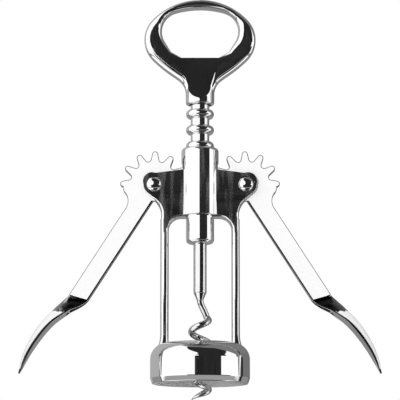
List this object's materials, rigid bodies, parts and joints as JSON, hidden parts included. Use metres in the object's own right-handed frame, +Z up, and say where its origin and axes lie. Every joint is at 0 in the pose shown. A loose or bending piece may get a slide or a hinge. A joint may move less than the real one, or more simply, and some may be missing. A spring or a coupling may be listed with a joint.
{
  "type": "wing corkscrew",
  "caption": "Double-lever wing corkscrew with a ring rack driven by toothed wings, a bell that sits on the bottle neck, and a looped handle with a crown cap opener.",
  "frame": {"origin": "centre of the bell's rim, on the plane that sits on the bottle's mouth", "axes": "+Z up along the screw axis from the bell to the handle, +X across the two wings to the right as seen from the front, front face towards -Y"},
  "size_m": [0.1638, 0.045, 0.1842],
  "materials": {
    "chrome_casting": "polished",
    "plated_steel": "polished",
    "worm_steel": "smooth",
    "guide_plastic": "matt"
  },
  "bodies": {
    "frame": {"frame_casting": "chrome_casting", "bell": "chrome_casting", "worm_guide_bush": "guide_plastic", "left_pivot_pin": "plated_steel", "right_pivot_pin": "plated_steel"},
    "rack": {"rack_sleeve": "chrome_casting"},
    "handle": {"handle": "chrome_casting", "worm_spindle": "worm_steel", "thrust_washer": "plated_steel", "snap_ring": "plated_steel"},
    "left_wing": {"left_lever": "chrome_casting"},
    "right_wing": {"right_lever": "chrome_casting"}
  },
  "joints": [
    {"name": "rack_slide", "type": "slide", "parent": "frame", "child": "rack", "axis": [0, 0, 1], "range_m": [-0.0192, 0.0064]},
    {"name": "handle_spin", "type": "hinge", "parent": "rack", "child": "handle", "pos_m": [0, 0, 0.1], "axis": [0, 0, 1], "continuous": true},
    {"name": "left_wing_pivot", "type": "hinge", "parent": "frame", "child": "left_wing", "pos_m": [-0.02088, 0, 0.0905], "axis": [0, 1, 0], "range_deg": [-26.1, 78]},
    {"name": "right_wing_pivot", "type": "hinge", "parent": "frame", "child": "right_wing", "pos_m": [0.02088, 0, 0.0905], "axis": [0, -1, 0], "range_deg": [-26.1, 78]}
  ],
  "couplings": [
    {"joint": "left_wing_pivot", "follows": "rack_slide", "rad_per_m": -70.757},
    {"joint": "right_wing_pivot", "follows": "rack_slide", "rad_per_m": -70.757}
  ]
}
